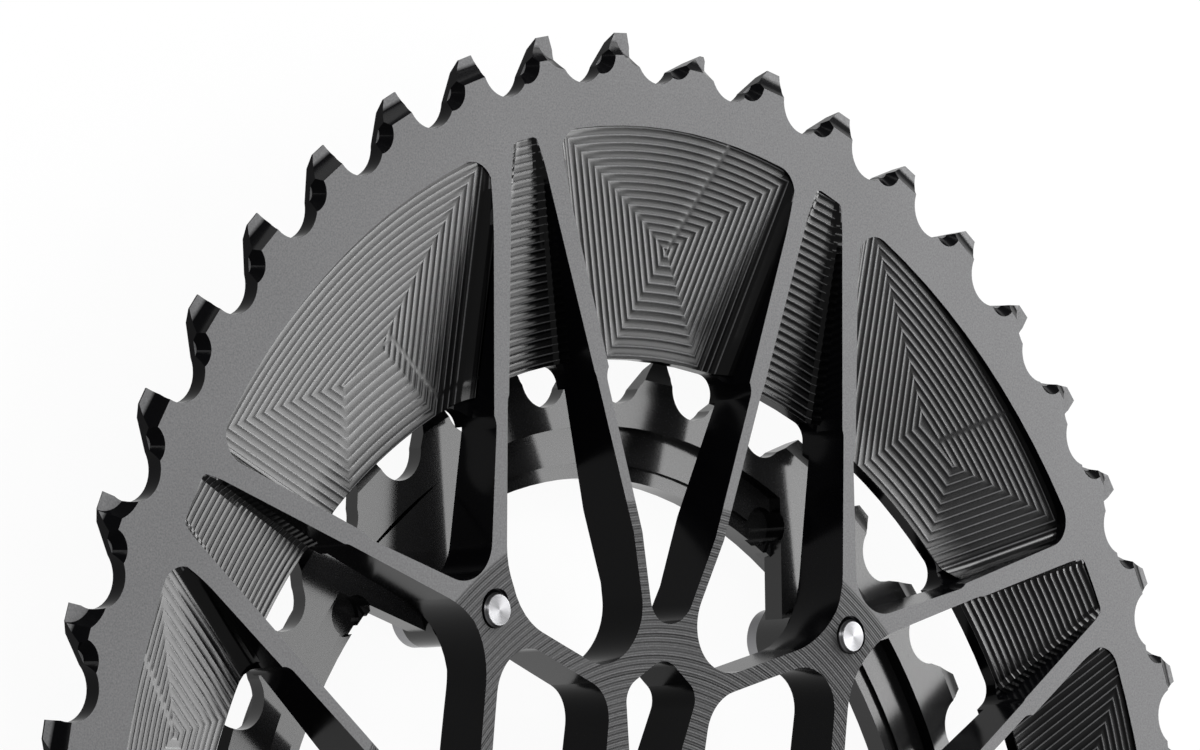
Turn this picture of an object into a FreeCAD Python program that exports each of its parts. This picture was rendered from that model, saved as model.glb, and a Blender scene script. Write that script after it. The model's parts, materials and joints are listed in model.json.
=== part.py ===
# Oval two-ring bicycle chainring set: an outer ring milled in one piece with its spider,
# an inner ring on five tabs, and the five bolts that hold it from behind.
# The set lies on its back: +Z leaves the decorated face, +Y is the top of the photographed view.
import FreeCAD
import Part
import Sketcher
import math
import os
from FreeCAD import Vector, Rotation, Placement

os.makedirs("parts", exist_ok=True)
doc = FreeCAD.newDocument("chainring_set")

# Driving sizes, in millimetres and degrees
SIZES = {
    "pitch": 12.7,
    "outer_teeth": 50,
    "outer_ovality": 1.119,
    "inner_teeth": 34,
    "inner_ovality": 1.05,
    "oval_angle": 97.0,
    "outer_tooth_shift": 4.0,
    "inner_tooth_shift": 5.5,
    "face_height": 13.8,
    "seat_radius": 3.8,
    "tip_height": 1.7,
    "low_tip_height": 0.5,
    "plate_thickness": 2.0,
    "tip_lead": 2.3,
    "tip_widening": 1.2,
    "flank_foot_angle": 36.0,
    "chamfer_drop": 1.0,
    "low_chamfer_drop": 1.7,
    "chamfer_depth": 1.1,
    "chamfer_hollow_radius": 4.5,
    "inner_hollow_radius": 12.0,
    "tip_edge": 0.2,
    "back_chamfer_run": 1.1,
    "relief_depth": 1.2,
    "trailing_relief_radius": 2.3,
    "leading_relief_radius": 4.7,
    "rim_width": 9.1,
    "rim_wall": 1.2,
    "rim_floor_depth": 0.3,
    "web_floor_depth": 5.0,
    "web_thickness": 1.6,
    "web_end_radius": 71.1,
    "web_end_corner": 2.3,
    "web_fillet": 2.2,
    "wide_pocket_corner": 3.2,
    "narrow_pocket_corner": 1.2,
    "hub_slot_apex": 34.9,
    "hub_slot_angle": 18.95,
    "bolt_slot_apex": 50.7,
    "bolt_slot_angle": 35.2,
    "hub_side_apex": 29.5,
    "hub_side_angle": 19.85,
    "bolt_side_apex": 47.5,
    "bolt_side_angle": 36.3,
    "web_end_jog": 0.45,
    "hub_window_apex": 33.05,
    "hub_window_angle": 19.1,
    "hub_window_tip_radius": 3.6,
    "bolt_window_apex": 51.9,
    "bolt_window_angle": 38.4,
    "bolt_window_tip_radius": 4.7,
    "hex_top": 47.6,
    "hex_top_radius": 5.2,
    "hex_shoulder": 30.9,
    "hex_half_width": 12.1,
    "hex_shoulder_radius": 5.0,
    "hex_foot": 22.3,
    "hex_foot_half_width": 6.4,
    "hex_foot_radius": 2.4,
    "diamond_top": 36.85,
    "diamond_top_radius": 3.1,
    "diamond_shoulder": 32.8,
    "diamond_half_width": 6.0,
    "diamond_shoulder_radius": 2.5,
    "diamond_foot": 23.2,
    "diamond_foot_half_width": 3.6,
    "diamond_foot_radius": 1.6,
    "strut_corner": 31.9,
    "strut_corner_half_width": 0.87,
    "strut_corner_radius": 6.0,
    "bolt_waist": 49.25,
    "bolt_waist_half_width": 1.3,
    "bolt_waist_radius": 9.9,
    "spider_thickness": 7.1,
    "node_radius": 54.0,
    "arm_end_thickness": 5.55,
    "arm_end_inset": 3.0,
    "bolt_circle_radius": 50.0,
    "cone_radius": 51.0,
    "cone_angle": 8.4,
    "back_cone_radius": 45.5,
    "back_cone_angle": 10.9,
    "hub_radius": 23.5,
    "spline_count": 20,
    "spline_radius": 18.9,
    "spline_land_radius": 17.9,
    "spindle_bore_radius": 16.0,
    "shoulder_thickness": 2.0,
    "thread_radius": 2.0,
    "thread_clearance": 0.03,
    "bolt_clearance": 0.1,
    "countersink_radius": 2.45,
    "bolt_end_radius": 1.75,
    "bolt_end_height": 0.35,
    "bolt_head_radius": 3.7,
    "bolt_head_height": 2.0,
    "bolt_key_radius": 1.45,
    "bolt_key_depth": 1.3,
    "boss_radius": 3.75,
    "inner_plate_depth": 8.3,
    "inner_plate_thickness": 1.9,
    "inner_band_radius": 63.6,
    "inner_band_drop": 1.7,
    "inner_lip_radius": 59.4,
    "inner_lip_drop": 0.5,
    "inner_bore_radius": 57.7,
    "inner_back_depth": 13.2,
    "tab_corner_radius": 3.2,
    "relief_radius": 2.3,
}

sheet = doc.addObject("Spreadsheet::Sheet", "Sizes")
for row, (alias, value) in enumerate(SIZES.items(), start=1):
    sheet.set("A%d" % row, alias)
    sheet.set("B%d" % row, str(value))
    sheet.setAlias("B%d" % row, alias)
doc.recompute()


def size(alias):
    """One driving size, read from the sheet."""
    return float(sheet.get(alias))


FOLDS = 5
FOLD_ANGLE = 360.0 / FOLDS
FACE = size("face_height")
SPIDER_BACK = FACE - size("spider_thickness")
BOLT_CIRCLE = size("bolt_circle_radius")


def bind(feature, **expressions):
    """Bind properties of a feature to expressions over the sheet."""
    for prop, expression in expressions.items():
        feature.setExpression(prop, expression)


def feature(kind, label, **props):
    """A document object with its label and plain properties."""
    obj = doc.addObject(kind, label)
    obj.Label = label
    for prop, value in props.items():
        setattr(obj, prop, value)
    return obj


def shape_feature(label, shape):
    """A Part::Feature that holds an outline worked out by the functions below."""
    return feature("Part::Feature", label, Shape=shape)


# Ovals: every oval of a ring is an ellipse about the same axis, moved in or out from its pitch line

def pitch_axes(teeth, ovality):
    """Half axes of the ellipse whose length carries the teeth at the chain's pitch."""
    squash = ((ovality - 1.0) / (ovality + 1.0)) ** 2
    around = math.pi * (ovality + 1.0) * (1.0 + 3.0 * squash / (10.0 + math.sqrt(4.0 - 3.0 * squash)))
    minor = teeth * size("pitch") / around
    return minor * ovality, minor


def oval_point(axes, turn):
    """Point and outward normal of an oval at an ellipse parameter, in radians."""
    tilt = math.radians(size("oval_angle"))
    x, y = axes[0] * math.cos(turn), axes[1] * math.sin(turn)
    nx, ny = axes[1] * math.cos(turn), axes[0] * math.sin(turn)
    length = math.hypot(nx, ny)
    cos_t, sin_t = math.cos(tilt), math.sin(tilt)
    point = Vector(x * cos_t - y * sin_t, x * sin_t + y * cos_t, 0)
    normal = Vector((nx * cos_t - ny * sin_t) / length, (nx * sin_t + ny * cos_t) / length, 0)
    return point, normal


def tooth_frames(teeth, axes, shift):
    """Centre, clockwise tangent and outward normal of each tooth, at equal steps along the oval.
    The first tooth lies shift millimetres clockwise of +Y."""
    steps = 7200
    start = math.pi / 2 - math.radians(size("oval_angle"))
    turns = [start - 2 * math.pi * i / steps for i in range(steps + 1)]
    points = [oval_point(axes, turn)[0] for turn in turns]
    run = [0.0]
    for before, after in zip(points, points[1:]):
        run.append(run[-1] + (after - before).Length)
    frames, spot = [], 0
    for tooth in range(teeth):
        target = (shift + tooth * run[-1] / teeth) % run[-1]
        spot = min(range(spot if frames and target > run[spot] else 0, steps),
                   key=lambda i: abs(run[i] - target))
        point, normal = oval_point(axes, turns[spot])
        point = point + (points[spot + 1] - points[spot]).normalize() * (target - run[spot])
        frames.append((point, Vector(normal.y, -normal.x, 0), normal))
    return frames


def oval_ring(axes, offset, height, label):
    """An ellipse feature parallel to a ring's pitch line, turned to the ovals' long axis."""
    ring = feature("Part::Ellipse", label, MajorRadius=axes[0] + offset, MinorRadius=axes[1] + offset)
    ring.Placement = Placement(Vector(0, 0, height), Rotation(Vector(0, 0, 1), size("oval_angle")))
    bind(ring, **{"Placement.Rotation.Angle": "Sizes.oval_angle"})
    return ring


# Toothed outlines

def tooth_points(frame, tip):
    """Corners of one tooth: trailing foot, tip, tip, leading foot. The leading flank is steep and
    the trailing flank slants, as on a chainring that turns clockwise."""
    centre, along, out = frame
    half = size("pitch") / 2
    seat = size("seat_radius")
    foot = math.radians(size("flank_foot_angle"))
    lead = size("tip_lead")
    corners = [(-half + seat * math.cos(foot), -seat * math.sin(foot)),
               (lead - size("tip_widening") * tip, tip), (lead, tip), (half - seat, 0.0)]
    return [centre + along * s + out * n for s, n in corners]


def toothed_face(frames, tips):
    """Face inside the tooth line: a roller seat between every two teeth."""
    teeth = [tooth_points(frame, tip) for frame, tip in zip(frames, tips)]
    edges = []
    for i, corners in enumerate(teeth):
        after = teeth[(i + 1) % len(teeth)]
        centre = (frames[i][0] + frames[(i + 1) % len(frames)][0]) * 0.5
        out = (frames[i][2] + frames[(i + 1) % len(frames)][2]).normalize()
        for a, b in zip(corners, corners[1:]):
            edges.append(Part.LineSegment(a, b).toShape())
        edges.append(Part.Arc(corners[-1], centre - out * size("seat_radius"), after[0]).toShape())
    return Part.Face(Part.Wire(edges))


def tooth_chamfers(frames, tips, drops, hollow, face, back):
    """What the form cutters take off each tooth: a hollow slope in front and a flat one behind."""
    depth, half = size("chamfer_depth"), size("pitch") * 0.28
    cutters = []
    for (centre, along, out), tip, drop in zip(frames, tips, drops):
        def spot(n, z):
            return centre - along * half + out * n + Vector(0, 0, z)

        start, end = spot(-drop, face), spot(tip, face - depth)
        chord = end - start
        away = along.cross(chord).normalize()
        away = away if away.z > 0 else away * -1
        middle = (start + end) * 0.5 + away * math.sqrt(hollow ** 2 - chord.Length ** 2 / 4)
        cutters.append(Part.makeCylinder(hollow, 2 * half, middle, along))

        run, rise = size("back_chamfer_run"), face - depth - size("tip_edge") - back
        over = 0.15
        corners = [spot(tip + over, back + rise * (1 + over / run)), spot(tip + over, back - rise * over / run),
                   spot(tip - run * (1 + over / run), back - rise * over / run)]
        wedge = Part.Face(Part.makePolygon(corners + corners[:1])).extrude(along * 2 * half)
        cutters.append(wedge)
    return Part.Compound(cutters)


def reliefs(frames, teeth, spot, radius):
    """Cone cuts that thin one flank of the given teeth from the front face."""
    depth = size("relief_depth")
    cones = []
    for i in teeth:
        centre, along, out = frames[i]
        place = centre + along * spot[0] + out * spot[1]
        cones.append(Part.makeCone(radius - 0.9 * depth, radius + 0.2, depth + 0.2,
                                   place + Vector(0, 0, FACE - depth)))
    return Part.Compound(cones)


# Rounded outlines in the plane

def rounded_face(corners):
    """Face inside a polygon given as (x, y, corner radius), every corner a tangent arc."""
    count = len(corners)
    spans = []
    for i, (x, y, radius) in enumerate(corners):
        here = Vector(x, y, 0)
        back = (Vector(*corners[i - 1][:2], 0) - here).normalize()
        ahead = (Vector(*corners[(i + 1) % count][:2], 0) - here).normalize()
        half = back.getAngle(ahead) / 2
        reach = radius / math.tan(half)
        bisector = (back + ahead).normalize()
        middle = here + bisector * (radius / math.sin(half) - radius)
        spans.append((here + back * reach, middle, here + ahead * reach, radius))
    edges = []
    for i, (start, middle, end, radius) in enumerate(spans):
        if radius > 0:
            edges.append(Part.Arc(start, middle, end).toShape())
        following = spans[(i + 1) % count][0]
        if (following - end).Length > 1e-6:
            edges.append(Part.LineSegment(end, following).toShape())
    return Part.Face(Part.Wire(edges))


class Line:
    """A ray from a point on a fold's axis, leaning off that axis by an angle. Angles run clockwise
    from +Y, and side is +1 for a ray on the clockwise side of its axis."""

    def __init__(self, axis, apex, lean, side):
        turn = math.radians(axis)
        heading = math.radians(axis + side * lean)
        self.start = Vector(apex * math.sin(turn), apex * math.cos(turn), 0)
        self.way = Vector(math.sin(heading), math.cos(heading), 0)

    def at_radius(self, radius):
        """The ray's point at a distance from the ring's axis."""
        along = self.start.dot(self.way)
        return self.start + self.way * (-along + math.sqrt(along ** 2 + radius ** 2 - self.start.Length ** 2))

    def meet(self, other):
        """Where two rays' lines cross."""
        gap = other.start - self.start
        cross = self.way.x * other.way.y - self.way.y * other.way.x
        reach = (gap.x * other.way.y - gap.y * other.way.x) / cross
        return self.start + self.way * reach


def oval_parameter(point):
    """The ellipse direction of a point, used to step along a ring's ovals."""
    tilt = math.radians(size("oval_angle"))
    x = point.x * math.cos(tilt) + point.y * math.sin(tilt)
    y = -point.x * math.sin(tilt) + point.y * math.cos(tilt)
    return x, y


def line_meets_oval(line, axes, inward, shift):
    """Point on a line moved sideways by shift where it crosses an oval moved inward."""
    start = line.start + Vector(line.way.y, -line.way.x, 0) * shift
    a, b = axes[0] - inward, axes[1] - inward
    x0, y0 = oval_parameter(start)
    x1, y1 = oval_parameter(start + line.way)
    dx, dy = x1 - x0, y1 - y0
    qa = (dx / a) ** 2 + (dy / b) ** 2
    qb = 2 * (x0 * dx / a ** 2 + y0 * dy / b ** 2)
    qc = (x0 / a) ** 2 + (y0 / b) ** 2 - 1
    reach = (-qb + math.sqrt(qb ** 2 - 4 * qa * qc)) / (2 * qa)
    return start + line.way * reach


def pocket_face(left, right, axes, corner, inner_radius):
    """Pocket between two arm lines, closed outside by the rim's oval with rounded corners, and the
    largest radius that the oval has there."""
    rim = size("rim_width")
    ends = []
    for line, side in ((left, 1.0), (right, -1.0)):
        centre = line_meets_oval(line, axes, rim + corner, side * corner)
        x, y = oval_parameter(centre)
        a, b = axes[0] - rim - corner, axes[1] - rim - corner
        normal = oval_point((a, b), math.atan2(y / b, x / a))[1]
        on_line = centre - Vector(line.way.y, -line.way.x, 0) * side * corner
        on_rim = centre + normal * corner
        bend = ((on_line - centre) + (on_rim - centre)).normalize() * corner
        ends.append((on_line, centre + bend, on_rim))
    middle = (ends[0][2] + ends[1][2]) * 0.5
    x, y = oval_parameter(middle)
    a, b = axes[0] - rim, axes[1] - rim
    crown = oval_point((a, b), math.atan2(y / b, x / a))[0]
    low_left, low_right = left.at_radius(inner_radius), right.at_radius(inner_radius)
    edges = [Part.LineSegment(low_left, ends[0][0]).toShape(),
             Part.Arc(*ends[0]).toShape(),
             Part.Arc(ends[0][2], crown, ends[1][2]).toShape(),
             Part.Arc(ends[1][2], ends[1][1], ends[1][0]).toShape(),
             Part.LineSegment(ends[1][0], low_right).toShape(),
             Part.LineSegment(low_right, low_left).toShape()]
    return Part.Face(Part.Wire(edges)), max(end.Length for end in (ends[0][2], crown, ends[1][2]))


def turned(face, angle):
    """A copy of a shape turned clockwise about the ring's axis."""
    copy = face.copy()
    copy.rotate(Vector(0, 0, 0), Vector(0, 0, 1), -angle)
    return copy


def prisms(label, faces, low, high):
    """Upright prisms on a set of plane faces."""
    solids = []
    for face in faces:
        solids.append(face.translated(Vector(0, 0, low)).extrude(Vector(0, 0, high - low)))
    return shape_feature(label, Part.Compound(solids))


def lathe(label, profile):
    """A turned solid: a closed profile of (radius, height) expressions, drawn in a sketch whose
    corners are all dimensioned from the axis, revolved in a PartDesign body."""
    body = doc.addObject("PartDesign::Body", label)
    body.Label = label
    sketch = body.newObject("Sketcher::SketchObject", label + "_profile")
    plane = [item for item in body.Origin.OriginFeatures if item.Role == "XZ_Plane"][0]
    sketch.AttachmentSupport = (plane, [""])
    sketch.MapMode = "FlatFace"
    values = [(sheet_value(r), sheet_value(h)) for r, h in profile]
    count = len(values)
    for i in range(count):
        start, end = values[i], values[(i + 1) % count]
        sketch.addGeometry(Part.LineSegment(Vector(*start, 0), Vector(*end, 0)), False)
    for i in range(count):
        sketch.addConstraint(Sketcher.Constraint("Coincident", i, 2, (i + 1) % count, 1))
    for i, (radius, height) in enumerate(profile):
        for kind, expression, value in (("DistanceX", radius, values[i][0]), ("DistanceY", height, values[i][1])):
            if abs(value) < 1e-9:
                other = "PointOnObject"
                sketch.addConstraint(Sketcher.Constraint(other, i, 1, -2 if kind == "DistanceX" else -1))
                continue
            index = sketch.addConstraint(Sketcher.Constraint(kind, -1, 1, i, 1, value))
            sketch.setExpression("Constraints[%d]" % index, expression)
    turn = body.newObject("PartDesign::Revolution", label + "_turn")
    turn.Profile = sketch
    turn.ReferenceAxis = (sketch, ["V_Axis"])
    turn.Angle = 360
    body.Tip = turn
    return body


def sheet_value(expression):
    """The number that an expression over the sheet has now."""
    scratch = feature("App::FeaturePython", "scratch_value")
    scratch.addProperty("App::PropertyFloat", "Value")
    scratch.setExpression("Value", expression)
    scratch.recompute()
    value = scratch.Value
    doc.removeObject(scratch.Name)
    return value


# Outer chainring: toothed plate, dished web and spider, milled from one blank

def cut(label, base, tool):
    return feature("Part::Cut", label, Base=base, Tool=tool, Refine=False)


def common(label, base, tool):
    return feature("Part::Common", label, Base=base, Tool=tool, Refine=False)


def fuse(label, shapes):
    return feature("Part::MultiFuse", label, Shapes=shapes, Refine=True)


def cylinder(label, radius, low, high):
    """An upright cylinder whose radius is an expression over the sheet."""
    solid = feature("Part::Cylinder", label, Height=high - low, Placement=Placement(Vector(0, 0, low), Rotation()))
    bind(solid, Radius=radius)
    return solid


def oval_drum(label, axes, offset, low, high):
    """An upright solid on one of a ring's ovals."""
    drum = feature("Part::Extrusion", label, Base=oval_ring(axes, offset, low, label + "_oval"),
                   Dir=Vector(0, 0, 1), Solid=True)
    drum.LengthFwd = high - low
    return drum


outer_axes = pitch_axes(size("outer_teeth"), size("outer_ovality"))
outer_frames = tooth_frames(int(size("outer_teeth")), outer_axes, size("outer_tooth_shift"))
PLATE_BACK = FACE - size("plate_thickness")
TRAILING_SPOT = (-3.3, -0.9)
LEADING_SPOT = (3.7, 2.3)

# Shift teeth come in three groups on each half turn. The middle tooth of the middle group is low.
half_turn = len(outer_frames) // 2
SHIFT_GROUPS = [-2, -1, 0, 5, 6, 7, 15, 16]
shift_teeth = sorted({(i + turn) % len(outer_frames) for i in SHIFT_GROUPS for turn in (0, half_turn)})
low_teeth = [0, half_turn]
outer_tips = [size("low_tip_height") if i in low_teeth else size("tip_height") for i in range(len(outer_frames))]
outer_drops = [size("low_chamfer_drop") if i in low_teeth else size("chamfer_drop") for i in range(len(outer_frames))]

outer_outline = shape_feature("outer_tooth_outline", toothed_face(outer_frames, outer_tips))
outer_outline.Placement = Placement(Vector(0, 0, PLATE_BACK), Rotation())
outer_plate = feature("Part::Extrusion", "outer_plate", Base=outer_outline, Dir=Vector(0, 0, 1), Solid=True)
bind(outer_plate, LengthFwd="Sizes.plate_thickness")
chamfered_plate = cut("chamfered_plate", outer_plate, shape_feature("tooth_chamfers", tooth_chamfers(
    outer_frames, outer_tips, outer_drops, size("chamfer_hollow_radius"), FACE, PLATE_BACK)))
trailing_plate = cut("trailing_relieved_plate", chamfered_plate, shape_feature("trailing_reliefs", reliefs(
    outer_frames, range(len(outer_frames)), TRAILING_SPOT, size("trailing_relief_radius"))))
toothed_plate = cut("toothed_plate", trailing_plate, shape_feature("leading_reliefs", reliefs(
    outer_frames, shift_teeth, LEADING_SPOT, size("leading_relief_radius"))))

# Behind the plate: a dished web and the spider's back, turned in one profile and trimmed to the rim's
# oval. The arms grow thinner outward from the bolts, up to a step just inside the web's end.
WEB_END = size("web_end_radius")
FLOOR_HIGH = FACE - size("rim_floor_depth")
FLOOR_LOW = FACE - size("web_floor_depth")
RIM_INSET = size("rim_width") - size("rim_wall")
dish_radius = outer_axes[0] - RIM_INSET - size("rim_wall")
HUB_FACE = "Sizes.face_height - (Sizes.cone_radius - Sizes.hub_radius) * tan(Sizes.cone_angle * 1 deg)"
WEB_BACK = "Sizes.face_height - Sizes.web_floor_depth - Sizes.web_thickness"
turned_back = lathe("turned_back", [
    ("Sizes.spindle_bore_radius", "0"),
    ("Sizes.hub_radius", "0"),
    ("Sizes.hub_radius", "Sizes.face_height - Sizes.spider_thickness"
     " - (Sizes.back_cone_radius - Sizes.hub_radius) * tan(Sizes.back_cone_angle * 1 deg)"),
    ("Sizes.back_cone_radius", "Sizes.face_height - Sizes.spider_thickness"),
    ("Sizes.node_radius", "Sizes.face_height - Sizes.spider_thickness"),
    ("Sizes.web_end_radius - Sizes.arm_end_inset", "Sizes.face_height - Sizes.arm_end_thickness"),
    ("Sizes.web_end_radius - Sizes.arm_end_inset", WEB_BACK),
    ("Sizes.web_end_radius", WEB_BACK),
    ("%.6f" % dish_radius, "Sizes.face_height - Sizes.plate_thickness"),
    ("%.6f" % (dish_radius + 2), "Sizes.face_height - 0.6 * Sizes.plate_thickness"),
    ("Sizes.spindle_bore_radius", "Sizes.face_height - 0.6 * Sizes.plate_thickness"),
])
back_body = common("back_body", turned_back, oval_drum("back_drum", outer_axes, -RIM_INSET, -1, FACE - 0.5))
front_cone = lathe("front_cone", [
    ("0", HUB_FACE),
    ("Sizes.hub_radius", HUB_FACE),
    ("Sizes.cone_radius + 1 / tan(Sizes.cone_angle * 1 deg)", "Sizes.face_height + 1"),
    ("0", "Sizes.face_height + 1"),
])
outer_blank = cut("outer_blank", fuse("outer_stack", [toothed_plate, back_body]), front_cone)

# Pockets: ten wide ones inside the arm pairs and ten narrow ones between the pairs
hub_slot = [Line(0, size("hub_slot_apex"), size("hub_slot_angle"), side) for side in (-1, 1)]
bolt_slot = [Line(36, size("bolt_slot_apex"), size("bolt_slot_angle"), side) for side in (-1, 1)]
hub_side = Line(0, size("hub_side_apex"), size("hub_side_angle"), 1)
bolt_side = Line(36, size("bolt_side_apex"), size("bolt_side_angle"), -1)


def fold_line(line, turns):
    """The same ray, a number of folds further round."""
    other = Line(0, 0, 0, 1)
    spin = Rotation(Vector(0, 0, 1), -FOLD_ANGLE * turns)
    other.start = spin.multVec(line.start)
    other.way = spin.multVec(line.way)
    return other


def mirror_line(line):
    """The same ray on the other side of the first hub axis."""
    other = Line(0, 0, 0, 1)
    other.start = Vector(-line.start.x, line.start.y, 0)
    other.way = Vector(-line.way.x, line.way.y, 0)
    return other


def cove(line, into, crown_height, crown_radius, radius):
    """The rounded strip of metal that a ball-nosed cutter leaves between an arm's wall and a floor."""
    rise = (crown_height - FLOOR_LOW) / (crown_radius - WEB_END)
    foot, far = line.at_radius(WEB_END), line.at_radius(crown_radius)
    falling = max(0.0, -foot.dot(into) / WEB_END * rise)
    sink = Vector(0, 0, 0.05 + radius * falling)
    low = Vector(foot.x, foot.y, FLOOR_LOW) - sink
    high = Vector(far.x, far.y, crown_height) - sink
    run = (high - low).normalize()
    lift = into.cross(run)
    lift = lift if lift.z > 0 else lift * -1
    corner = low - run * 3 - into * 0.02
    bend = corner + (into + lift) * radius * (1 - math.sqrt(0.5))
    outline = [Part.LineSegment(corner, corner + into * radius).toShape(),
               Part.Arc(corner + into * radius, bend, corner + lift * radius).toShape(),
               Part.LineSegment(corner + lift * radius, corner).toShape()]
    return Part.Face(Part.Wire(outline)).extrude(run * ((high - low).Length + 4))


def pocket(left, right, corner, fillet):
    """One pocket's void: its outline down to a floor that rises in a cone from the web's end to the rim,
    less the coves at the arms."""
    face, crown_radius = pocket_face(left, right, outer_axes, corner, WEB_END - size("arm_end_inset"))
    slope = (FLOOR_HIGH - FLOOR_LOW) / (crown_radius - WEB_END)
    over = FACE + 1 - FLOOR_LOW
    floor = Part.makeCone(WEB_END - 4, WEB_END + over / slope, over + 4 * slope,
                          Vector(0, 0, FLOOR_LOW - 4 * slope))
    void = face.translated(Vector(0, 0, FLOOR_LOW - 1)).extrude(Vector(0, 0, over + 1)).common(floor)
    coves = []
    for line, side in ((left, 1), (right, -1)):
        into = Vector(line.way.y, -line.way.x, 0) * side
        coves.append(cove(line, into, FLOOR_HIGH, crown_radius, fillet).common(below_face))
    return void.cut(coves)


below_face = Part.makeBox(300, 300, 50, Vector(-150, -150, FACE - 50))
wide, narrow, fillet = size("wide_pocket_corner"), size("narrow_pocket_corner"), size("web_fillet")
pocket_pairs = [(hub_slot[0], hub_slot[1], wide, fillet), (bolt_slot[0], bolt_slot[1], wide, fillet),
                (hub_side, bolt_side, narrow, 0.6 * fillet),
                (mirror_line(bolt_side), mirror_line(hub_side), narrow, 0.6 * fillet)]
pockets = []
for left, right, corner, cove_radius in pocket_pairs:
    for turns in range(FOLDS):
        pockets.append(pocket(fold_line(left, turns), fold_line(right, turns), corner, cove_radius))
pocket_cuts = shape_feature("pocket_cuts", Part.Compound(pockets))
webbed_blank = cut("webbed_blank", outer_blank, pocket_cuts)

# Windows: what is open right through, inside the circle where the webs end
FAR = WEB_END + 5


def fork_window(apex, angle, tip_radius):
    """Window between two arms that part at a rounded tip on the fold's axis."""
    right, left = Line(0, apex, angle, 1).at_radius(FAR), Line(0, apex, angle, -1).at_radius(FAR)
    return rounded_face([(0, apex, tip_radius), (right.x, right.y, 0), (left.x, left.y, 0)])


def kite_window(name):
    """Six-cornered window on a fold's axis, with its tip outward and its narrow foot at the hub."""
    top, shoulder, foot = size(name + "_top"), size(name + "_shoulder"), size(name + "_foot")
    wide, narrow = size(name + "_half_width"), size(name + "_foot_half_width")
    tip_bend, shoulder_bend, foot_bend = [size(name + "_%s_radius" % part) for part in ("top", "shoulder", "foot")]
    return rounded_face([(0, top, tip_bend), (wide, shoulder, shoulder_bend), (narrow, foot, foot_bend),
                         (-narrow, foot, foot_bend), (-wide, shoulder, shoulder_bend)])


hub_window = fork_window(size("hub_window_apex"), size("hub_window_angle"), size("hub_window_tip_radius"))
bolt_window = fork_window(size("bolt_window_apex"), size("bolt_window_angle"), size("bolt_window_tip_radius"))
hub_wall = Line(0, size("hub_side_apex") + size("web_end_jog"), size("hub_side_angle"), 1).at_radius(FAR)
bolt_wall = Line(36, size("bolt_side_apex") + size("web_end_jog"), size("bolt_side_angle"), -1).at_radius(FAR)
bolt_waist = turned(Part.Vertex(-size("bolt_waist_half_width"), size("bolt_waist"), 0), 36).Point
side_window = rounded_face([
    (size("strut_corner_half_width"), size("strut_corner"), size("strut_corner_radius")),
    (hub_wall.x, hub_wall.y, 0), (bolt_wall.x, bolt_wall.y, 0),
    (bolt_waist.x, bolt_waist.y, size("bolt_waist_radius"))])
mirrored_side_window = side_window.mirror(Vector(0, 0, 0), Vector(1, 0, 0))
window_faces = []
for turns in range(FOLDS):
    turn = turns * FOLD_ANGLE
    window_faces += [turned(hub_window, turn), turned(kite_window("diamond"), turn)]
    window_faces += [turned(bolt_window, turn + 36), turned(kite_window("hex"), turn + 36)]
    window_faces += [turned(side_window, turn), turned(mirrored_side_window, turn)]
web_end = Part.Face(Part.Wire(Part.makeCircle(WEB_END)))


def trimmed_window(face):
    """A window that ends at the web, with its two corners there rounded as the cutter leaves them."""
    corner = size("web_end_corner")
    return face.common(web_end).Faces[0].makeOffset2D(-corner).makeOffset2D(corner).Faces[0]


window_cuts = prisms("window_cuts", [trimmed_window(face) for face in window_faces], -1, FACE + 1)


def around(angle, radius, height=0.0):
    """A point at a clockwise angle from +Y."""
    turn = math.radians(angle)
    return Vector(radius * math.sin(turn), radius * math.cos(turn), height)


BOLT_ANGLES = [36 + FOLD_ANGLE * turns for turns in range(FOLDS)]
HOLE = size("thread_radius") + size("thread_clearance")
screw_holes = []
for angle in BOLT_ANGLES:
    sink = size("countersink_radius") - HOLE
    screw_holes.append(Part.makeCylinder(HOLE, size("spider_thickness") + 2, around(angle, BOLT_CIRCLE, SPIDER_BACK - 1)))
    screw_holes.append(Part.makeCone(HOLE, HOLE + 2 * sink, 2 * sink, around(angle, BOLT_CIRCLE, FACE - sink)))
screw_hole_cuts = shape_feature("screw_hole_cuts", Part.Compound(screw_holes))

# Hub: a splined bore for the crank, over a plain shoulder that the lockring clamps
spline_points = []
step = 360.0 / size("spline_count")
for tooth in range(int(size("spline_count"))):
    for share, radius in ((0.06, "spline_radius"), (0.44, "spline_radius"),
                          (0.56, "spline_land_radius"), (0.94, "spline_land_radius")):
        spline_points.append(around((tooth + share) * step, size(radius)))
spline_face = Part.Face(Part.makePolygon(spline_points + spline_points[:1]))
spline_cut = prisms("spline_cut", [spline_face], size("shoulder_thickness"), FACE)

through_cuts = feature("Part::Compound", "through_cuts", Links=[window_cuts, screw_hole_cuts, spline_cut])
outer_chainring = cut("outer_chainring", webbed_blank, through_cuts)


# Inner chainring: toothed plate over a stepped oval band, with five tabs that reach in to the bolts

inner_axes = pitch_axes(size("inner_teeth"), size("inner_ovality"))
inner_frames = tooth_frames(int(size("inner_teeth")), inner_axes, size("inner_tooth_shift"))
INNER_FACE = FACE - size("inner_plate_depth")
INNER_PLATE_BACK = INNER_FACE - size("inner_plate_thickness")
INNER_BACK = FACE - size("inner_back_depth")
BAND_FACE = INNER_FACE - size("inner_band_drop")
LIP_FACE = BAND_FACE - size("inner_lip_drop")
HEAD_TOP = size("bolt_head_height")
BAND = inner_axes[0] - size("inner_band_radius")
LIP = inner_axes[0] - size("inner_lip_radius")
BORE = inner_axes[0] - size("inner_bore_radius")

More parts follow.
